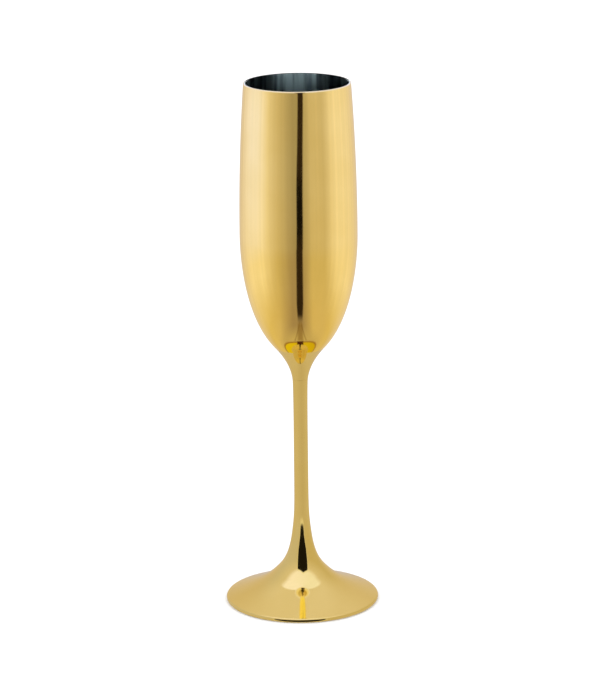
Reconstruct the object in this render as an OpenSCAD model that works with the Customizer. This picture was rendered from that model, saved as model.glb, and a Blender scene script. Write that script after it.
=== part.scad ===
// Champagne flute: three glass pieces, welded flat end to flat end, with a dark undercoat and a
// gold plating over the outside of each. Z = 0 is the table, and the Z axis is the flute's own axis.
// Every piece is turned about that axis. The outside is one smooth line from the foot's edge up to
// the lip, and each coat lies on it: the line is drawn again a little deeper for each layer.

/* [Whole flute] */
// Height from the table to the lip
flute_height = 225; // [218:1:235]
// Height of the weld between the stem and the foot
foot_weld_z = 30; // [27:0.5:34]
// Height of the weld between the bowl and the stem
neck_weld_z = 98; // [92:0.5:100]

/* [Bowl] */
// Outer diameter at the lip
mouth_d = 44.7; // [42:0.1:48]
// Thickness of the fully rounded lip
lip_t = 1; // [0.8:0.1:1.6]
// Inward lean of the wall at the lip, in degrees
lip_lean = 4.2; // [1:0.1:8]
// Outer diameter at the belly, the bowl's widest ring
belly_d = 49.4; // [46:0.1:54]
// Height of the belly
belly_z = 160.5; // [155:0.5:170]
// Wall thickness at the belly
belly_wall_t = 1.3; // [1:0.1:2]
// Outer diameter where the cup begins, above the neck
cup_d = 21.2; // [19.5:0.1:22]
// Height where the cup begins
cup_z = 112; // [110:0.5:114]
// Height of the bottom of the hollow
hollow_z = 108.5; // [107:0.5:110]

/* [Stem] */
// Diameter at the neck weld
neck_d = 6.6; // [6.2:0.1:8]
// Slimmest diameter of the stem
waist_d = 6.1; // [5.6:0.1:6.5]
// Height of the stem's slimmest ring
waist_z = 60; // [52:1:68]
// Diameter at the foot weld
root_d = 8.3; // [8:0.1:10]

/* [Foot] */
// Outer diameter of the foot
foot_d = 65.3; // [62:0.1:72]
// Thickness of the foot at its rounded edge
foot_edge_t = 2; // [1.6:0.1:3]
// Slope of the foot's top at its edge, in degrees
foot_slope = 21; // [17:0.5:24]
// Diameter of the hub, where the foot sweeps up towards the stem
hub_d = 25.2; // [23:0.1:28]
// Height of the hub's ring
hub_z = 12; // [11:0.5:13]
// Height of the shallow dome under the foot, at its middle
dome_h = 3; // [1.5:0.1:4]
// Width of the bare glass ring that stands on the table
rest_ring_w = 2.5; // [1.5:0.1:4]

/* [Coats] */
// Drawn thickness of one coat
coat_t = 0.1; // [0.08:0.01:0.12]

/* [Hidden] */

$fn = 96;
// Points on each curve, and on each small arc
curve_steps = 14;
arc_steps = 8;

// How deep below the finished outside each layer begins
plating_depth = 0;
undercoat_depth = coat_t;
glass_depth = 2 * coat_t;

// Headings of the outside line, in degrees: 90 is straight up, 180 is level towards the axis
up = 90;
hub_heading = 136.5;
root_heading = 97.4;
neck_heading = 82.5;
cup_heading = 47;

// A point or direction is [radius, height]
function heading(angle) = [cos(angle), sin(angle)];

// A cubic curve from p to q that leaves along angle a and arrives along angle b.
// Its two handles are the given shares of the straight distance from p to q.
function curve(p, a, share_a, q, b, share_b) =
    let (span = norm(q - p))
    [p, p + share_a * span * heading(a), q - share_b * span * heading(b), q];

function point_at(c, t) =
    pow(1 - t, 3) * c[0] + 3 * pow(1 - t, 2) * t * c[1] + 3 * (1 - t) * t * t * c[2] + pow(t, 3) * c[3];

function travel_at(c, t) =
    pow(1 - t, 2) * (c[1] - c[0]) + 2 * (1 - t) * t * (c[2] - c[1]) + t * t * (c[3] - c[2]);

// The direction out of the material, to the right of an upward line
function outward_at(c, t) =
    let (d = travel_at(c, t))
    [d[1], -d[0]] / norm(d);

// The points of a curve after its first one, moved into the material by depth
function traced(c, depth, last = curve_steps) = [
    for (i = [1 : last])
        let (t = i / curve_steps)
        point_at(c, t) - depth * outward_at(c, t)
];

// The end of a curve at a weld, moved in level, so that every layer ends in the weld's plane
function at_weld(c, t, depth) = point_at(c, t) - [depth / outward_at(c, t)[0], 0];

// An arc about a centre, without its first point
function arc(centre, r, from, to) = [
    for (i = [1 : arc_steps])
        centre + r * heading(from + (to - from) * i / arc_steps)
];

function reversed(list) = [for (i = [len(list) - 1 : -1 : 0]) list[i]];

// The outside of the foot, above its rounded edge
edge_r = foot_edge_t / 2;
edge_centre = [foot_d / 2 - edge_r, edge_r];
hub = [hub_d / 2, hub_z];
root = [root_d / 2, foot_weld_z];
edge_top = edge_centre + edge_r * heading(90 - foot_slope);
foot_top = curve(edge_top, 180 - foot_slope, 0.54, hub, hub_heading, 0.26);
foot_flare = curve(hub, hub_heading, 0.3, root, root_heading, 0.55);

// The outside of the stem, below and above its slimmest ring
waist = [waist_d / 2, waist_z];
neck = [neck_d / 2, neck_weld_z];
stem_lower = curve(root, root_heading, 0.27, waist, up, 0.66);
stem_upper = curve(waist, up, 0.15, neck, neck_heading, 0.08);

// The outside of the bowl, from the neck to the lip
lip_r = lip_t / 2;
lip_centre = [mouth_d / 2 - lip_r, flute_height - lip_r];
cup = [cup_d / 2, cup_z];
belly = [belly_d / 2, belly_z];
lip_outside = lip_centre + lip_r * heading(lip_lean);
bowl_neck = curve(neck, neck_heading, 0.34, cup, cup_heading, 0.33);
bowl_cup = curve(cup, cup_heading, 0.35, belly, up, 0.22);
bowl_wall = curve(belly, up, 0.3, lip_outside, 90 + lip_lean, 0.35);

// The hollow of the bowl, from the lip down to its middle
lip_inside = lip_centre - lip_r * heading(lip_lean);
belly_inside = belly - [belly_wall_t, 0];
hollow_floor = [0, hollow_z];
hollow_wall = curve(lip_inside, 270 + lip_lean, 0.35, belly_inside, 270, 0.3);
hollow_cup = curve(belly_inside, 270, 0.6, hollow_floor, 180, 0.12);

// The flat bare ring under the foot, set in a little from the rounded edge
ring_inset = 0.4;
ring_outer_r = edge_centre[0] - ring_inset;
ring_inner_r = ring_outer_r - rest_ring_w;

// The shallow dome under the foot, from the axis out to the ring
dome_r = (pow(ring_inner_r, 2) + pow(dome_h, 2)) / (2 * dome_h);
dome_half_angle = asin(ring_inner_r / dome_r);
function dome_line(depth) = [
    for (i = [0 : curve_steps])
        let (a = dome_half_angle * i / curve_steps)
        [dome_r * sin(a), dome_h - dome_r * (1 - cos(a)) + depth]
];

// The outside of each piece from its lower end to its upper end, at a given depth
function foot_line(depth) = concat(
    [[ring_outer_r, depth], [edge_centre[0], depth]],
    arc(edge_centre, edge_r - depth, -90, 90 - foot_slope),
    traced(foot_top, depth),
    traced(foot_flare, depth, curve_steps - 1),
    [at_weld(foot_flare, 1, depth)]
);

function stem_line(depth) = concat(
    [at_weld(stem_lower, 0, depth)],
    traced(stem_lower, depth),
    traced(stem_upper, depth, curve_steps - 1),
    [at_weld(stem_upper, 1, depth)]
);

function bowl_line(depth) = concat(
    [at_weld(bowl_neck, 0, depth)],
    traced(bowl_neck, depth),
    traced(bowl_cup, depth),
    traced(bowl_wall, depth),
    arc(lip_centre, lip_r - depth, lip_lean, 90)
);

// The inner half of the rounded lip and the hollow below it
function hollow_line() = concat(
    [lip_centre + [0, lip_r]],
    arc(lip_centre, lip_r, 90, 180 + lip_lean),
    traced(hollow_wall, 0),
    traced(hollow_cup, 0)
);

// A solid turned about the axis from a closed outline
module turned(outline) {
    rotate_extrude() polygon(outline);
}

// One coat, between an outer line and the same line one coat deeper
module skin(outer_line, inner_line) {
    turned(concat(outer_line, reversed(inner_line)));
}

// The coats of the three pieces, each starting at a given depth
module bowl_coat(depth) {
    skin(bowl_line(depth), bowl_line(depth + coat_t));
}

module stem_coat(depth) {
    skin(stem_line(depth), stem_line(depth + coat_t));
}

// The foot's coat is in two: round the edge and up to the weld, and under the dome.
// The glass ring between them is bare.
module foot_coat(depth) {
    skin(foot_line(depth), foot_line(depth + coat_t));
    skin(dome_line(depth), dome_line(depth + coat_t));
}

// Blown bowl: open above, drawn down to a solid neck
module bowl_glass() {
    color("lightblue", 0.5)
        turned(concat([[0, neck_weld_z]], bowl_line(glass_depth), hollow_line()));
}

// Solid stem
module stem_glass() {
    color("powderblue", 0.5)
        turned(concat([[0, foot_weld_z]], stem_line(glass_depth), [[0, neck_weld_z]]));
}

// Solid foot with its hub, standing on the bare ring
module foot_glass() {
    color("lightcyan", 0.5)
        turned(concat(
            dome_line(glass_depth),
            [[ring_inner_r, 0], [ring_outer_r, 0]],
            foot_line(glass_depth),
            [[0, foot_weld_z]]
        ));
}

module bowl_undercoat() {
    color("darkslategray") bowl_coat(undercoat_depth);
}

module stem_undercoat() {
    color("darkslategray") stem_coat(undercoat_depth);
}

module foot_undercoat() {
    color("darkslategray") foot_coat(undercoat_depth);
}

module bowl_plating() {
    color("gold") bowl_coat(plating_depth);
}

module stem_plating() {
    color("goldenrod") stem_coat(plating_depth);
}

module foot_plating() {
    color("gold") foot_coat(plating_depth);
}

bowl_glass();
stem_glass();
foot_glass();
bowl_undercoat();
stem_undercoat();
foot_undercoat();
bowl_plating();
stem_plating();
foot_plating();
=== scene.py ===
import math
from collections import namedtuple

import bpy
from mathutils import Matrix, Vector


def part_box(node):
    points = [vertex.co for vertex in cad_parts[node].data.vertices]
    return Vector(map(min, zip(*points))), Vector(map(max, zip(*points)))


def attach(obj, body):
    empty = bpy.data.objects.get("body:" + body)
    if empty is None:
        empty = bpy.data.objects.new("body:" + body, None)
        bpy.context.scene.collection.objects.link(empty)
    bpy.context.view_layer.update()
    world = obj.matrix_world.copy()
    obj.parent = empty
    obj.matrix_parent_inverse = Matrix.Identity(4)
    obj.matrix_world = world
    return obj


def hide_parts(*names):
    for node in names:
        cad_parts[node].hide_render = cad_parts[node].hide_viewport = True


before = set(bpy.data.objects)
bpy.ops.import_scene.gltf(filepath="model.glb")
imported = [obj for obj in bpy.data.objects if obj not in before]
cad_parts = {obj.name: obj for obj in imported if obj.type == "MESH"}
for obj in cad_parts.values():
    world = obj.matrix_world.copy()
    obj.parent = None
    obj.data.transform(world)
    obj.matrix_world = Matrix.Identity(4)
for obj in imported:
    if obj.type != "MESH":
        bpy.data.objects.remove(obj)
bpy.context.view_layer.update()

# A champagne flute of plated glass: clear glass bowl, stem and foot, with a dark undercoat and a
# mirror-gold plating over the outside of each. Every piece is turned about the Z axis from one
# smooth outline. Lengths are in millimetres until they go into a mesh or a place.

MM = 0.001


# ---------------------------------------------------------------- sizes

def top(node):
    """The highest point of a CAD node, in mm."""
    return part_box(node)[1].z / MM


def radius(node):
    """The largest radius of a CAD node, in mm."""
    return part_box(node)[1].x / MM


FLUTE_H = top("bowl_plating")
NECK_WELD_Z = top("stem_plating")
FOOT_WELD_Z = top("foot_plating")
BELLY_R = radius("bowl_plating")
FOOT_R = radius("foot_plating")
ROOT_R = radius("stem_plating")

LIP_R = 0.5
LIP_LEAN = 4.2
MOUTH_R = 22.35
BELLY_Z = 160.5
BELLY_WALL_T = 1.3
CUP = (10.6, 112.0)
HOLLOW_FLOOR = (0.0, 108.5)
NECK_R = 3.3
WAIST = (3.05, 60.0)
HUB = (12.6, 12.0)
EDGE_R = 1.0
FOOT_SLOPE = 21.0
DOME_H = 3.0
RING_INSET = 0.4
RING_W = 2.5
COAT_T = 0.1

# The glass reaches a little into the undercoat, so that no two surfaces lie in one place
GLASS_OVERLAP = 0.03
GLASS_DEPTH = 2 * COAT_T - GLASS_OVERLAP
# A glass weld face is drawn from the axis this far out, and closing the outline does the rest
WELD_MIDDLE_R = 1.0
# Rounding of the gold on each side of the neck weld, which shows as a hairline, and how far in
# the rounding's middle lies, as a share of it
WELD_ROUNDING = 0.06
ROUNDING_MIDDLE = 0.3

# Headings of the outline, in degrees from level outwards
UP = 90.0
DOWN = -90.0
INWARD = 180.0
HUB_HEADING = 136.5
ROOT_HEADING = 97.4
NECK_HEADING = 82.5
CUP_HEADING = 47.0

# How far the two handles of each curve reach, as shares of the distance between its ends
PLATE_HANDLES = (0.54, 0.26)
FLARE_HANDLES = (0.3, 0.55)
LOWER_STEM_HANDLES = (0.27, 0.66)
UPPER_STEM_HANDLES = (0.15, 0.08)
NECK_HANDLES = (0.34, 0.33)
CUP_HANDLES = (0.35, 0.22)
WALL_HANDLES = (0.3, 0.35)
HOLLOW_WALL_HANDLES = (0.35, 0.3)
HOLLOW_CUP_HANDLES = (0.6, 0.12)

# Steps along each curve and small arc, and round the axis
CURVE_STEPS = 36
ARC_STEPS = 12
SEGMENTS_SEEN = 192
SEGMENTS_HIDDEN = 96
# The step of the curve above the cup where the cup's gold ends and the wall's begins
CUP_STEPS = 24

# Two points closer than this are one
TOUCH = 1e-6


# ---------------------------------------------------------------- outlines
# A sample is (radius, height, normal's radius part, normal's height part). An outline is a list of
# runs, and a run is a list of samples without a crease. It goes round with the outside on its right.

def heading(angle):
    return math.cos(math.radians(angle)), math.sin(math.radians(angle))


def along(p, angle, distance):
    """The point that lies at a distance from p along an angle."""
    go = heading(angle)
    return p[0] + distance * go[0], p[1] + distance * go[1]


def bezier(p, a, q, b, handles):
    """A curve from p along angle a to q along angle b."""
    span = math.dist(p, q)
    c = along(p, a, handles[0] * span)
    d = along(q, b, -handles[1] * span)
    run = []
    for i in range(CURVE_STEPS + 1):
        t = i / CURVE_STEPS
        s = 1 - t
        at = [s**3 * p[k] + 3 * s * s * t * c[k] + 3 * s * t * t * d[k] + t**3 * q[k] for k in (0, 1)]
        go = [s * s * (c[k] - p[k]) + 2 * s * t * (d[k] - c[k]) + t * t * (q[k] - d[k]) for k in (0, 1)]
        length = math.hypot(*go)
        run.append((at[0], at[1], go[1] / length, -go[0] / length))
    return run


def arc(centre, r, start, end):
    """A convex arc about a centre, from one angle to another."""
    run = []
    for i in range(ARC_STEPS + 1):
        angle = start + (end - start) * i / ARC_STEPS
        run.append((*along(centre, angle, r), *heading(angle)))
    return run


def flat(p, q):
    """A straight face from p to q."""
    length = math.dist(p, q)
    n = ((q[1] - p[1]) / length, (p[0] - q[0]) / length)
    return [(p[0], p[1], *n), (q[0], q[1], *n)]


def join(*runs):
    """Several runs that follow each other smoothly, as one."""
    joined = list(runs[0])
    for run in runs[1:]:
        joined += run[1:]
    return joined


def sunk(run, depth, level_start=False, level_end=False):
    """A run moved into the material. An end at a weld moves level, to stay in the weld's plane."""
    moved = [(r - depth * nr, z - depth * nz, nr, nz) for r, z, nr, nz in run]
    if level_start:
        r, z, nr, nz = run[0]
        moved[0] = (r - depth / nr, z, nr, nz)
    if level_end:
        r, z, nr, nz = run[-1]
        moved[-1] = (r - depth / nr, z, nr, nz)
    return moved


def eased(run, at_start=False, at_end=False):
    """A run whose end at a weld is rounded off a little, towards the level face there."""
    w = WELD_ROUNDING
    m = ROUNDING_MIDDLE * w
    if at_start:
        (r, z, nr, nz), (r2, z2) = run[0], run[1][:2]
        start = (r + (r2 - r) * w / (z2 - z), z + w, nr, nz)
        run = [(r - w, z, *heading(DOWN)), (r - m, z + m, *heading(DOWN / 2)), start, *run[1:]]
    if at_end:
        (r, z, nr, nz), (r2, z2) = run[-1], run[-2][:2]
        end = (r + (r2 - r) * w / (z - z2), z - w, nr, nz)
        run = [*run[:-1], end, (r - m, z - m, *heading(UP / 2)), (r - w, z, *heading(UP))]
    return run


def turned_back(run):
    """A run the other way round, with its normals turned over."""
    return [(r, z, -nr, -nz) for r, z, nr, nz in reversed(run)]


def closed(*runs):
    """Runs in order, with a straight face wherever one ends away from where the next begins."""
    outline = []
    for i, run in enumerate(runs):
        outline.append(run)
        a, b = run[-1][:2], runs[(i + 1) % len(runs)][0][:2]
        on_axis = a[0] < TOUCH and b[0] < TOUCH
        if math.dist(a, b) > TOUCH and not on_axis:
            outline.append(flat(a, b))
    return outline


# The line of the finished outside, piece by piece from the foot up
EDGE_CENTRE = (FOOT_R - EDGE_R, EDGE_R)
LIP_CENTRE = (MOUTH_R - LIP_R, FLUTE_H - LIP_R)
RING_OUTER_R = EDGE_CENTRE[0] - RING_INSET
RING_INNER_R = RING_OUTER_R - RING_W
ROOT = (ROOT_R, FOOT_WELD_Z)
NECK = (NECK_R, NECK_WELD_Z)
BELLY = (BELLY_R, BELLY_Z)


def edge_side(depth):
    """The foot's rounded edge, from the bare ring's border up to the top face."""
    return join(
        flat((RING_OUTER_R, depth), (EDGE_CENTRE[0], depth)),
        arc(EDGE_CENTRE, EDGE_R - depth, DOWN, UP - FOOT_SLOPE),
    )


def plate_side(depth):
    """The foot's top face, from its edge up to the hub's ring."""
    edge_top = along(EDGE_CENTRE, UP - FOOT_SLOPE, EDGE_R)
    return sunk(bezier(edge_top, INWARD - FOOT_SLOPE, HUB, HUB_HEADING, PLATE_HANDLES), depth)


def hub_side(depth):
    """The foot's flare, from the hub's ring up to the weld with the stem."""
    flare = bezier(HUB, HUB_HEADING, ROOT, ROOT_HEADING, FLARE_HANDLES)
    return sunk(flare, depth, level_end=True)


def foot_side(depth):
    return join(edge_side(depth), plate_side(depth), hub_side(depth))


def foot_dome(depth):
    """The shallow dome under the foot, from the axis out to the bare ring."""
    dome_r = (RING_INNER_R**2 + DOME_H**2) / (2 * DOME_H)
    half_angle = math.asin(RING_INNER_R / dome_r)
    run = []
    for i in range(ARC_STEPS + 1):
        a = half_angle * i / ARC_STEPS
        z = DOME_H - dome_r * (1 - math.cos(a)) + depth
        run.append((dome_r * math.sin(a), z, -math.sin(a), -math.cos(a)))
    return run


def stem_side(depth):
    lower = bezier(ROOT, ROOT_HEADING, WAIST, UP, LOWER_STEM_HANDLES)
    upper = bezier(WAIST, UP, NECK, NECK_HEADING, UPPER_STEM_HANDLES)
    return join(sunk(lower, depth, level_start=True), sunk(upper, depth, level_end=True))


def bowl_side(depth):
    """The bowl's outside, from the weld with the stem up to the crown of the lip."""
    lip_outside = along(LIP_CENTRE, LIP_LEAN, LIP_R)
    neck = bezier(NECK, NECK_HEADING, CUP, CUP_HEADING, NECK_HANDLES)
    cup = bezier(CUP, CUP_HEADING, BELLY, UP, CUP_HANDLES)
    wall = bezier(BELLY, UP, lip_outside, UP + LIP_LEAN, WALL_HANDLES)
    return join(
        sunk(neck, depth, level_start=True),
        sunk(cup, depth),
        sunk(wall, depth),
        arc(LIP_CENTRE, LIP_R - depth, LIP_LEAN, UP),
    )


def neck_side(depth):
    """The bowl's outside below the cup."""
    return bowl_side(depth)[:CURVE_STEPS + 1]


def cup_side(depth):
    """The bowl's outside from the cup up to a ring below the belly."""
    return bowl_side(depth)[CURVE_STEPS:CURVE_STEPS + CUP_STEPS + 1]


def wall_side(depth):
    """The bowl's outside from that ring up to the lip."""
    return bowl_side(depth)[CURVE_STEPS + CUP_STEPS:]


def bowl_hollow():
    """The inner half of the lip and the hollow, down to its floor on the axis."""
    lip_inside = along(LIP_CENTRE, LIP_LEAN, -LIP_R)
    belly_inside = (BELLY_R - BELLY_WALL_T, BELLY_Z)
    return join(
        arc(LIP_CENTRE, LIP_R, UP, INWARD + LIP_LEAN),
        bezier(lip_inside, DOWN + LIP_LEAN, belly_inside, DOWN, HOLLOW_WALL_HANDLES),
        bezier(belly_inside, DOWN, HOLLOW_FLOOR, INWARD, HOLLOW_CUP_HANDLES),
    )


def weld_below(z):
    """The middle of the level weld face under a glass piece."""
    return flat((0, z), (WELD_MIDDLE_R, z))


def weld_above(z):
    """The middle of the level weld face on top of a glass piece."""
    return flat((WELD_MIDDLE_R, z), (0, z))


def bowl_glass():
    return closed(weld_below(NECK_WELD_Z), bowl_side(GLASS_DEPTH), bowl_hollow())


def stem_glass():
    return closed(weld_below(FOOT_WELD_Z), stem_side(GLASS_DEPTH), weld_above(NECK_WELD_Z))


def foot_glass():
    ring = flat((RING_INNER_R, 0), (RING_OUTER_R, 0))
    return closed(foot_dome(GLASS_DEPTH), ring, foot_side(GLASS_DEPTH), weld_above(FOOT_WELD_Z))


def coat(side, depth, **ease):
    """The closed outline of one coat on a side. It begins at a depth."""
    return closed(eased(side(depth), **ease), turned_back(side(depth + COAT_T)))


def plating(side, **ease):
    return coat(side, 0, **ease)


def undercoat(side):
    return coat(side, COAT_T)


# ---------------------------------------------------------------- turning

def lathe(name, outlines, segments):
    """One mesh turned from closed outlines. Its normals are the outlines' own, exact all over."""
    verts, faces, normals = [], [], []
    turns = [heading(360 * j / segments) for j in range(segments)]

    def ring(r, z):
        """The numbers of the points round a ring, which are all one point on the axis."""
        if r < TOUCH:
            verts.append((0, 0, z * MM))
            return [len(verts) - 1] * segments
        start = len(verts)
        verts.extend((r * c * MM, r * s * MM, z * MM) for c, s in turns)
        return list(range(start, start + segments))

    def corner(rings, k, j, sample):
        """A face's corner: the number of its point, and its normal."""
        c, s = turns[j % segments]
        nr, nz = sample[2:]
        return rings[k][j % segments], (nr * c, nr * s, nz)

    def face(corners):
        """A face of four corners, or of three where two fall together on the axis."""
        kept = [c for i, c in enumerate(corners) if c[0] not in [d[0] for d in corners[:i]]]
        faces.append([c[0] for c in kept])
        normals.extend(c[1] for c in kept)

    for outline in outlines:
        points = [run[0][:2] for run in outline]
        starts = [ring(*p) for p in points]
        for i, run in enumerate(outline):
            inner = [ring(*s[:2]) for s in run[1:-1]]
            last = starts[(i + 1) % len(outline)]
            if math.dist(run[-1][:2], points[(i + 1) % len(outline)]) > TOUCH:
                last = ring(*run[-1][:2])
            rings = [starts[i], *inner, last]
            for k in range(len(run) - 1):
                for j in range(segments):
                    face([
                        corner(rings, k, j, run[k]),
                        corner(rings, k, j + 1, run[k]),
                        corner(rings, k + 1, j + 1, run[k + 1]),
                        corner(rings, k + 1, j, run[k + 1]),
                    ])

    mesh = bpy.data.meshes.new(name)
    mesh.from_pydata(verts, [], faces)
    mesh.shade_smooth()
    mesh.normals_split_custom_set(normals)
    mesh.validate()
    piece = bpy.data.objects.new(name, mesh)
    bpy.context.collection.objects.link(piece)
    return piece


# ---------------------------------------------------------------- materials
# The usual range of a noise, which the materials stretch to their own lows and highs
NOISE_LOW = 0.3
NOISE_HIGH = 0.7


def new_material(name):
    """A material with its node tree, and a helper that adds a node with its settings and inputs."""
    material = bpy.data.materials.new(name)
    material.use_nodes = True
    tree = material.node_tree
    tree.nodes.clear()

    def add(kind, inputs=(), **settings):
        node = tree.nodes.new(kind)
        for key, value in settings.items():
            setattr(node, key, value)
        for key, value in dict(inputs).items():
            value = getattr(value, "socket", value)
            if isinstance(value, bpy.types.NodeSocket):
                tree.links.new(value, node.inputs[key])
            else:
                node.inputs[key].default_value = value
        return node

    return material, add


def ramp(add, value, stops, smooth=True):
    """A colour ramp over (position, colour) stops."""
    node = add("ShaderNodeValToRGB", {"Fac": value})
    node.color_ramp.interpolation = "EASE" if smooth else "LINEAR"
    elements = node.color_ramp.elements
    while len(elements) < len(stops):
        elements.new(0.5)
    for element, (position, colour) in zip(elements, stops):
        element.position = position
        element.color = (*colour, 1)
    return node.outputs["Color"]


def noise(add, place, scale, detail):
    node = add("ShaderNodeTexNoise", {"Vector": place, "Scale": scale, "Detail": detail})
    return node.outputs["Fac"]


def spread(add, value, low, high, start=NOISE_LOW, end=NOISE_HIGH):
    """The range start to end of a value, stretched to low to high."""
    node = add("ShaderNodeMapRange", {
        "Value": value, "From Min": start, "From Max": end, "To Min": low, "To Max": high,
    })
    return node.outputs["Result"]


def gold_plating():
    material, add = new_material("gold_plating_mirror")
    place = add("ShaderNodeTexCoord").outputs["Object"]
    cloud = noise(add, place, scale=55, detail=3)
    colour = ramp(add, cloud, [(NOISE_LOW, (0.955, 0.77, 0.255)), (NOISE_HIGH, (0.985, 0.805, 0.285))])
    haze = noise(add, place, scale=240, detail=4)
    rough = spread(add, haze, 0.055, 0.085)
    waves = noise(add, place, scale=32, detail=1)
    bump = add("ShaderNodeBump", {"Height": waves, "Strength": 0.015, "Distance": 0.001})
    shader = add("ShaderNodeBsdfPrincipled", {
        "Base Color": colour, "Metallic": 1.0, "Roughness": rough, "Normal": bump.outputs["Normal"],
    })
    add("ShaderNodeOutputMaterial", {"Surface": shader.outputs["BSDF"]})
    return material


def dark_undercoat():
    material, add = new_material("dark_undercoat_streaked")
    place = add("ShaderNodeTexCoord").outputs["Object"]
    drawn = add("ShaderNodeMapping", {"Vector": place, "Scale": (1, 1, 0.04)}).outputs["Vector"]
    streaks = noise(add, drawn, scale=260, detail=3)
    colour = ramp(add, streaks, [(0.38, (0.16, 0.20, 0.23)), (0.62, (0.42, 0.51, 0.54))])
    rough = spread(add, streaks, 0.40, 0.30)
    around = add("ShaderNodeTangent", direction_type="RADIAL", axis="Z").outputs["Tangent"]
    shader = add("ShaderNodeBsdfPrincipled", {
        "Base Color": colour, "Metallic": 1.0, "Roughness": rough, "Tangent": around,
        "Anisotropic": 0.8, "Anisotropic Rotation": 0.25,
    })
    add("ShaderNodeOutputMaterial", {"Surface": shader.outputs["BSDF"]})
    return material


def clear_glass():
    material, add = new_material("clear_glass_smooth")
    place = add("ShaderNodeTexCoord").outputs["Object"]
    smears = noise(add, place, scale=90, detail=3)
    rough = spread(add, smears, 0.0, 0.02)
    tint = ramp(add, smears, [(NOISE_LOW, (0.975, 0.99, 0.985)), (NOISE_HIGH, (0.99, 1.0, 0.995))])
    shader = add("ShaderNodeBsdfPrincipled", {
        "Base Color": tint, "Roughness": rough, "IOR": 1.52, "Transmission Weight": 1.0,
    })
    add("ShaderNodeOutputMaterial", {"Surface": shader.outputs["BSDF"]})
    return material


GOLD = gold_plating()
UNDERCOAT = dark_undercoat()
GLASS = clear_glass()


# ---------------------------------------------------------------- the flute's pieces
# The gold of the bowl and of the foot is in three pieces each, which meet face to face and look
# like one coat. This is for looks only, so that each stretch can mirror its own surroundings.

def make_piece(node, outlines, material, segments, name=None):
    """One piece in the place of one CAD node, or of a part of it."""
    piece = lathe(name or node + "_turned", outlines, segments)
    piece.data.materials.append(material)
    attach(piece, "root")
    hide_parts(node)
    return piece


def gold_piece(node, outlines, name=None):
    return make_piece(node, outlines, GOLD, SEGMENTS_SEEN, name)


def undercoat_piece(node, outlines, segments):
    return make_piece(node, outlines, UNDERCOAT, segments)


def glass_piece(node, outline, segments):
    return make_piece(node, [outline], GLASS, segments)


bowl_inside = [
    glass_piece("bowl_glass", bowl_glass(), SEGMENTS_SEEN),
    undercoat_piece("bowl_undercoat", [undercoat(bowl_side)], SEGMENTS_SEEN),
]
wall_gold = [gold_piece("bowl_plating", [plating(wall_side)])]
cup_gold = [gold_piece("bowl_plating", [plating(cup_side)], "cup_plating_turned")]
neck_gold = [gold_piece("bowl_plating", [plating(neck_side, at_start=True)], "neck_plating_turned")]
stem_pieces = [
    glass_piece("stem_glass", stem_glass(), SEGMENTS_HIDDEN),
    undercoat_piece("stem_undercoat", [undercoat(stem_side)], SEGMENTS_HIDDEN),
    gold_piece("stem_plating", [plating(stem_side, at_end=True)]),
]
plate_gold = [gold_piece("foot_plating", [plating(plate_side)], "plate_plating_turned")]
edge_gold = [gold_piece("foot_plating", [plating(edge_side), plating(foot_dome)])]
hub_and_inside = [
    gold_piece("foot_plating", [plating(hub_side)], "hub_plating_turned"),
    glass_piece("foot_glass", foot_glass(), SEGMENTS_HIDDEN),
    undercoat_piece("foot_undercoat", [undercoat(foot_side), undercoat(foot_dome)], SEGMENTS_HIDDEN),
]


# ---------------------------------------------------------------- floor and light
# The flute mirrors its surroundings, and in the photograph its stretches mirror surroundings that
# don't agree. So glowing tents hang round it, each seen only in the reflections of the pieces it
# is for. They have no part in the picture otherwise.

# The floor's half width, in metres, and its colour
FLOOR_HALF = 6.0
FLOOR_COLOUR = (0.94, 0.94, 0.94, 1)

# The light of the white room, which the flute itself does not mirror
ROOM_LIGHT = 1.3

# The smallest tent's radius and the step to the next, in metres, and the divisions of its mesh
TENT_R = 2.2
TENT_STEP = 0.1
TENT_ROWS = 24
TENT_COLUMNS = 48

# The Mix node's sockets for colours
MIX_SHARE, MIX_A, MIX_B, MIX_RESULT = 0, 6, 7, 2


def floor():
    h = FLOOR_HALF
    mesh = bpy.data.meshes.new("floor")
    mesh.from_pydata([(-h, -h, 0), (h, -h, 0), (h, h, 0), (-h, h, 0)], [], [(0, 1, 2, 3)])
    plane = bpy.data.objects.new("floor", mesh)
    bpy.context.collection.objects.link(plane)
    material, add = new_material("pale_floor")
    shader = add("ShaderNodeBsdfDiffuse", {"Color": FLOOR_COLOUR})
    add("ShaderNodeOutputMaterial", {"Surface": shader.outputs["BSDF"]})
    mesh.materials.append(material)
    plane.visible_glossy = False


class Number:
    """A number in a node tree, with arithmetic."""

    def __init__(self, add, socket):
        self.add, self.socket = add, socket

    def step(self, operation, *others):
        values = [self, *others]
        node = self.add("ShaderNodeMath", dict(enumerate(values)), operation=operation)
        return Number(self.add, node.outputs[0])

    def __add__(self, other):
        return self.step("ADD", other)

    def __sub__(self, other):
        return self.step("SUBTRACT", other)

    def __mul__(self, other):
        return self.step("MULTIPLY", other)

    def __truediv__(self, other):
        return self.step("DIVIDE", other)

    def distance(self, centre):
        return (self - centre).step("ABSOLUTE")

    def change(self, start, end, low=0.0, high=1.0):
        """Low up to start, high from end on, and a straight change between."""
        return Number(self.add, spread(self.add, self, low, high, start, end))

    def between(self, low, high, soft):
        """1 between low and high, falling to 0 over soft outside them."""
        return self.change(low - soft, low) * self.change(high, high + soft, 1.0, 0.0)


def mix(add, share, a, b):
    """A blend from colour a to colour b."""
    node = add("ShaderNodeMix", {MIX_SHARE: share, MIX_A: a, MIX_B: b}, data_type="RGBA")
    return node.outputs[MIX_RESULT]


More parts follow.
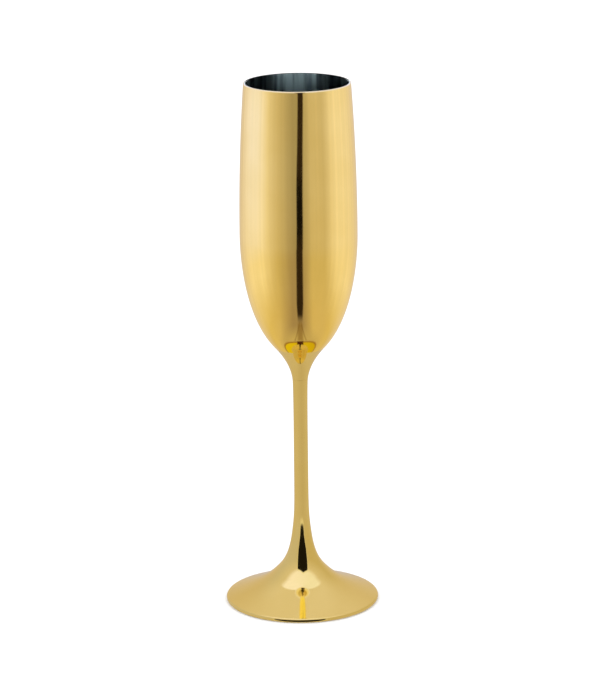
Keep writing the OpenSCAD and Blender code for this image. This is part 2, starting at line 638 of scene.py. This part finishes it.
def directions(add):
    """The direction from the flute's foot to a point of a tent, in four Numbers.

    The azimuth is 0 degrees on the camera's side and grows to the right, and the elevation is in
    degrees too. The last two are for points below the floor: how far to the right and how far to
    the back a ray to them goes while it falls by one."""
    place = add("ShaderNodeTexCoord").outputs["Object"]
    parts = add("ShaderNodeSeparateXYZ", {"Vector": place}).outputs
    x, y, z = [Number(add, parts[axis]) for axis in "XYZ"]
    azimuth = x.step("ARCTAN2", y * -1.0).step("DEGREES")
    elevation = z.step("ARCTAN2", (x * x + y * y).step("SQRT")).step("DEGREES")
    least_fall = 0.001
    fall = (z * -1.0).step("MAXIMUM", least_fall)
    return azimuth, elevation, x / fall, y / fall


def reflected_light(name, mesh, receivers, paint):
    """A glowing sheet that shows only in the reflections of the given pieces."""
    sheet = bpy.data.objects.new(name, mesh)
    bpy.context.collection.objects.link(sheet)
    material, add = new_material(name + "_light")
    glow = add("ShaderNodeEmission", {"Color": paint(add), "Strength": 1.0})
    through = add("ShaderNodeBsdfTransparent")
    both = add("ShaderNodeAddShader", {0: glow.outputs[0], 1: through.outputs[0]})
    add("ShaderNodeOutputMaterial", {"Surface": both.outputs[0]})
    mesh.materials.append(material)
    sheet.visible_camera = False
    sheet.visible_diffuse = False
    sheet.visible_shadow = False
    lit = bpy.data.collections.new(name + "_receivers")
    for piece in receivers:
        lit.objects.link(piece)
    sheet.light_linking.receiver_collection = lit


def tent_mesh(r):
    """A sphere of r metres round the flute."""
    verts, faces = [], []
    for i in range(TENT_ROWS + 1):
        across, up = heading(DOWN + 180 * i / TENT_ROWS)
        for j in range(TENT_COLUMNS):
            u, v = heading(360 * j / TENT_COLUMNS)
            verts.append((r * across * u, r * across * v, r * up))
    for i in range(TENT_ROWS):
        low, high = i * TENT_COLUMNS, (i + 1) * TENT_COLUMNS
        for j in range(TENT_COLUMNS):
            k = (j + 1) % TENT_COLUMNS
            faces.append((low + j, high + j, high + k, low + k))
    mesh = bpy.data.meshes.new("tent")
    mesh.from_pydata(verts, [], faces)
    return mesh


# ---------------------------------------------------------------- what the bowl's gold mirrors
# The cloth is lit from the left and from the right, and dim beside a gap in front. The numbers
# that bound a change are degrees, or slopes on the table as directions gives them.

# The light on half lit cloth, where dim cloth has 0 and fully lit cloth has 1
HALF_LIT = 0.45
# The cloth's colours where it is dim, half lit and fully lit: at the height of the bowl, a little
# lower in yellower light, and near the table
LEVEL_SHADES = ((0.41, 0.35, 0.30), (0.66, 0.56, 0.50), (0.95, 0.86, 0.97))
LOWER_SHADES = ((0.39, 0.30, 0.23), (0.66, 0.53, 0.34), (0.97, 0.85, 0.80))
DEEP_SHADES = ((0.39, 0.29, 0.22), (0.69, 0.54, 0.33), (0.76, 0.60, 0.32))
# The left side's colour at the height of the bowl, where the light is cooler
COOL_CLOTH = (0.97, 0.96, 1.6, 1)
GAP_DARK = (0.03, 0.018, 0.012, 1)
# The painted reflection of the flute's own gold foot, lying on the tent's table: its middle and half
# sizes, to the right and to the back
FOOT_REFLECTION_MIDDLE = (0.015, 0.17)
FOOT_REFLECTION_HALF = (0.50, 0.41)
# How strongly the pattern draws together towards the table
DRAW_TOGETHER = 1.3


def cloth_light(pattern):
    """How well the cloth is lit, from 0 to 1. Between the gap and the right it is half lit."""
    left = pattern.change(-180, -104, 0.44, 1.0) - pattern.change(-74, -12)
    half_lit = pattern.change(6, 25, 0.0, HALF_LIT)
    right = pattern.change(50, 80, 0.0, 0.52) - pattern.change(110, 180, 0.0, 0.53)
    return left + half_lit + right


def cloth_colour(add, lit, shades):
    """The colour of cloth that is lit so well."""
    dim, half, full = shades
    return ramp(add, lit, [(0.0, dim), (HALF_LIT, half), (1.0, full)], smooth=False)


def lit_cloth(add, pattern, elevation):
    """The cloth at the height of the bowl and a little lower."""
    lit = cloth_light(pattern)
    level = cloth_colour(add, lit, LEVEL_SHADES)
    cool = pattern.change(-145, -108) * pattern.change(-88, -62, 1.0, 0.0)
    level = mix(add, cool, level, COOL_CLOTH)
    lower = cloth_colour(add, lit, LOWER_SHADES)
    return mix(add, elevation.change(-16, -3), lower, level)


def streaked(add, azimuth, elevation, colour):
    """A colour with faint long streaks up and down, which run round without a seam."""
    turn = azimuth.step("RADIANS")
    place = add("ShaderNodeCombineXYZ", {
        "X": turn.step("SINE"), "Y": turn.step("COSINE"), "Z": elevation * 0.002,
    }).outputs["Vector"]
    shade = spread(add, noise(add, place, scale=9, detail=2), 0.94, 1.045)
    shaded = add("ShaderNodeVectorMath", {"Vector": colour, "Scale": shade}, operation="SCALE")
    return shaded.outputs["Vector"]


def front_gap(add, cloth, pattern, elevation):
    """The dark gap between the sheets of cloth, which narrows to a blunt end on the table."""
    middle = elevation.change(-4.5, 2.8, 2.3, 6.2) + elevation.change(-11, -7.5, -1.2, 0.0)
    narrower = elevation.change(-50, -37, 1.9, 0.0) - elevation.change(-2.6, -1.6, 0.5, 0.0)
    aside = pattern.distance(middle) + narrower
    trail = aside.change(4.0, 7.0, 0.7, 0.0) * elevation.between(-72, -54, 3)
    cloth = mix(add, trail, cloth, (0.26, 0.16, 0.06, 1))
    darker = (0.008, 0.006, 0.005, 1)
    colour = mix(add, elevation.between(-8, -4.3, 1.2), GAP_DARK, darker)
    gap = aside.change(4.7, 6.2, 1.0, 0.0) * elevation.change(-52.5, -45)
    return mix(add, gap, cloth, colour)


def table_edges(add, cloth, right, back):
    """Two thin edges on the table that run apart from the gap's end."""
    half_width = (back + 0.9) * 0.32
    off_edge = right.distance(0.03).distance(half_width)
    edge = off_edge.change(0.012, 0.03, 0.5, 0.0) * back.between(-0.8, -0.27, 0.04)
    return mix(add, edge, cloth, (0.20, 0.12, 0.03, 1))


def painted_foot_reflection(add, cloth, right, back):
    """A painted reflection of the flute's own gold foot on the table, warm, with a dark rim and a dark
    notch in front.
    """
    east = (right - FOOT_REFLECTION_MIDDLE[0]) / FOOT_REFLECTION_HALF[0]
    north = (back - FOOT_REFLECTION_MIDDLE[1]) / FOOT_REFLECTION_HALF[1]
    far = (east * east + north * north).step("SQRT")
    cloth = mix(add, far.change(1.02, 1.10, 1.0, 0.0), cloth, (0.34, 0.18, 0.04, 1))
    # The foot's painted reflection is lighter yellow on the left and darker amber on the right
    foot_reflection_colour = mix(add, east.change(-1, 1), (0.78, 0.60, 0.012, 1), (0.64, 0.45, 0.01, 1))
    cloth = mix(add, far.change(0.94, 1.0, 1.0, 0.0), cloth, foot_reflection_colour)
    off_middle = right.distance(FOOT_REFLECTION_MIDDLE[0])
    notch = off_middle.change(0.09, 0.13, 1.0, 0.0) * back.between(-0.26, -0.02, 0.02)
    return mix(add, notch, cloth, (0.06, 0.012, 0.004, 1))


def bowl_cloth(add, with_foot_reflection, gap_above_half):
    """Pale cloth left and right, a narrow dark gap between in front, and cool light overhead."""
    azimuth, elevation, right, back = directions(add)
    # Towards the table the pattern draws together, so that its edges stay upright in the bowl
    below = elevation.step("MINIMUM", 0.0).step("RADIANS")
    pattern = azimuth * below.step("COSINE").step("POWER", DRAW_TOGETHER)
    cloth = streaked(add, azimuth, elevation, lit_cloth(add, pattern, elevation))
    # Near the table the cloth is brightest beside the front, and less lit from there to the back
    most_light = pattern.step("ABSOLUTE").change(74, 115, 1.0, 0.36)
    deep_light = cloth_light(pattern).step("MINIMUM", most_light)
    deep = cloth_colour(add, deep_light, DEEP_SHADES)
    cloth = mix(add, elevation.change(-42, -20), deep, cloth)
    table = (0.57, 0.45, 0.28, 1)
    cloth = mix(add, elevation.change(-68, -54), table, cloth)
    cloth = front_gap(add, cloth, pattern, elevation)
    cloth = table_edges(add, cloth, right, back)
    # Only the cup's tent carries the painted reflection of the flute's gold foot on its table
    if with_foot_reflection:
        cloth = painted_foot_reflection(add, cloth, right, back)
    overhead = (0.90, 0.95, 1.80, 1)
    cloth = mix(add, elevation.change(6, 18), cloth, overhead)
    # The gap runs a little way up into the light overhead
    middle, soft = 6.0, 4.0
    sideways = azimuth.between(middle - gap_above_half, middle + gap_above_half, soft)
    gap_above = sideways * elevation.between(12, 45, soft)
    return mix(add, gap_above, cloth, GAP_DARK)


def wall_tent(add):
    return bowl_cloth(add, with_foot_reflection=False, gap_above_half=9.0)


def cup_tent(add):
    """The cup looks down on the table, which carries a painted reflection of the flute's foot, and up
    at a wider gap.
    """
    return bowl_cloth(add, with_foot_reflection=True, gap_above_half=22.0)


# ---------------------------------------------------------------- what the dark inside mirrors

def mouth_tent(add):
    """A dim room, with a lit window in front and one behind."""
    azimuth, elevation, *_ = directions(add)
    dim = mix(add, elevation.change(40, 70), (0.010, 0.008, 0.010, 1), (0.22, 0.22, 0.24, 1))
    window_height = elevation.between(4, 20, 4)
    behind = azimuth.step("ABSOLUTE").change(125, 150) * window_height
    dim = mix(add, behind, dim, (1.6, 1.8, 1.85, 1))
    in_front = azimuth.between(-40, 40, 16) * window_height
    return mix(add, in_front, dim, (3.0, 3.4, 3.45, 1))


# ---------------------------------------------------------------- what the stem and foot mirror

# The dark gap in front: the azimuth of its middle, its half width at eye level and what that grows
# by with each degree up, and the elevations of its peaked top and its rounded lower end
Gap = namedtuple("Gap", "middle half growth top foot")
WIDE_GAP = Gap(3.0, 35.0, 0.0, 64.0, -5.8)
# For the foot's top, which would be black from behind with a wider one
NARROW_GAP = Gap(3.0, 5.0, 0.35, 50.0, -5.8)
# For the foot's edge, where the gap is a dark line along the front and runs on over the table
LOW_GAP = Gap(-4.0, 38.0, 0.0, 26.0, -75.0)

# The lamp overhead, at its left and at its right
COOL_LAMP = ((1.01, 0.99, 1.50, 1), (0.93, 0.92, 1.20, 1))
YELLOW_LAMP = ((1.01, 0.97, 0.62, 1), (0.96, 0.92, 0.50, 1))


def low_cloth(add, lamp, gap, front=None):
    """Dimmer cloth, cooler on the left, with a dark gap in front and a bright lamp above.

    Front is another colour for the cloth round the gap."""
    azimuth, elevation, *_ = directions(add)
    cloth = mix(add, azimuth.change(-60, 60), (0.61, 0.56, 0.60, 1), (0.60, 0.50, 0.36, 1))
    behind = azimuth.step("ABSOLUTE").change(130, 158)
    cloth = mix(add, behind, cloth, (0.67, 0.56, 0.45, 1))
    off_front = azimuth.distance(20).change(0, 80)
    low = mix(add, off_front, (0.56, 0.47, 0.38, 1), (0.62, 0.53, 0.45, 1))
    cloth = mix(add, elevation.change(-12, -3), low, cloth)
    if front:
        cloth = mix(add, azimuth.between(-60, 60, 25), cloth, front)
    cloth = mix(add, elevation.change(25, 58), cloth, (0.75, 0.67, 0.69, 1))
    lamp_colour = mix(add, azimuth.change(-60, 60), *lamp)
    lamp_there = elevation.change(52, 61) * azimuth.between(-113, 103, 5)
    cloth = mix(add, lamp_there, cloth, lamp_colour)

    # How far inside the gap a direction lies, in degrees: under its top, over its foot, off its sides
    peak, roof_slope = 8.0, 0.25
    flat_half, round_width, round_rise = 0.4 * gap.half, 0.52 * gap.half, 12.0
    aside = azimuth.distance(gap.middle)
    over = (azimuth.distance(peak) * -roof_slope + gap.top) - elevation
    round_end = (aside - flat_half).step("MAXIMUM", 0.0) / round_width
    under = elevation - (round_end * round_end * round_rise + gap.foot)
    across = elevation * gap.growth + gap.half - aside
    inside = over.step("MINIMUM", under).step("MINIMUM", across)
    pale_rim = inside.change(-4.5, -1.5, 0.0, 0.6)
    cloth = mix(add, pale_rim, cloth, (0.90, 0.85, 0.80, 1))
    return mix(add, inside.change(-0.7, 0.7), cloth, (0.012, 0.010, 0.008, 1))


def stem_tent(add):
    """Here the lamp is yellower, which shows only where the foot mirrors the stem."""
    return low_cloth(add, YELLOW_LAMP, WIDE_GAP)


def foot_tent(add):
    return low_cloth(add, COOL_LAMP, WIDE_GAP)


def plate_tent(add):
    return low_cloth(add, COOL_LAMP, NARROW_GAP, front=(0.69, 0.60, 0.42, 1))


def edge_tent(add):
    return low_cloth(add, COOL_LAMP, LOW_GAP)


# ---------------------------------------------------------------- the stage

floor()
tents = [
    ("mouth_tent", bowl_inside, mouth_tent),
    ("wall_tent", wall_gold, wall_tent),
    ("cup_tent", cup_gold, cup_tent),
    ("stem_tent", neck_gold + stem_pieces, stem_tent),
    ("foot_tent", hub_and_inside, foot_tent),
    ("plate_tent", plate_gold, plate_tent),
    ("edge_tent", edge_gold, edge_tent),
]
# Each tent is a little larger than the last, because two sheets in one place would mix
for i, (name, receivers, paint) in enumerate(tents):
    reflected_light(name, tent_mesh(TENT_R + i * TENT_STEP), receivers, paint)

world = bpy.data.worlds.new("soft_white_room")
world.use_nodes = True
background = world.node_tree.nodes["Background"]
background.inputs["Color"].default_value = (1, 1, 1, 1)
background.inputs["Strength"].default_value = ROOM_LIGHT
world.cycles_visibility.glossy = False
world.cycles_visibility.transmission = False
bpy.context.scene.world = world
bpy.context.scene.view_settings.view_transform = "Standard"

# The camera stands 1.26 m in front and looks down 15 degrees. It is rolled a little, because the
# flute leans a hair to the left in the photograph.
CAMERA_PLACE = (0.00006, -1.2573, 0.4547)
LOOK_DOWN = 15.31
ROLL = -0.612
FOCAL_MM = 158.82
SENSOR_MM = 36.0

camera_data = bpy.data.cameras.new("camera")
camera_data.lens = FOCAL_MM
camera_data.sensor_width = SENSOR_MM
camera = bpy.data.objects.new("camera", camera_data)
camera.location = CAMERA_PLACE
camera.rotation_mode = "XYZ"
tilt = Matrix.Rotation(math.radians(UP - LOOK_DOWN), 3, "X")
roll = Matrix.Rotation(math.radians(ROLL), 3, "Z")
camera.rotation_euler = (tilt @ roll).to_euler()
bpy.context.collection.objects.link(camera)
bpy.context.scene.camera = camera
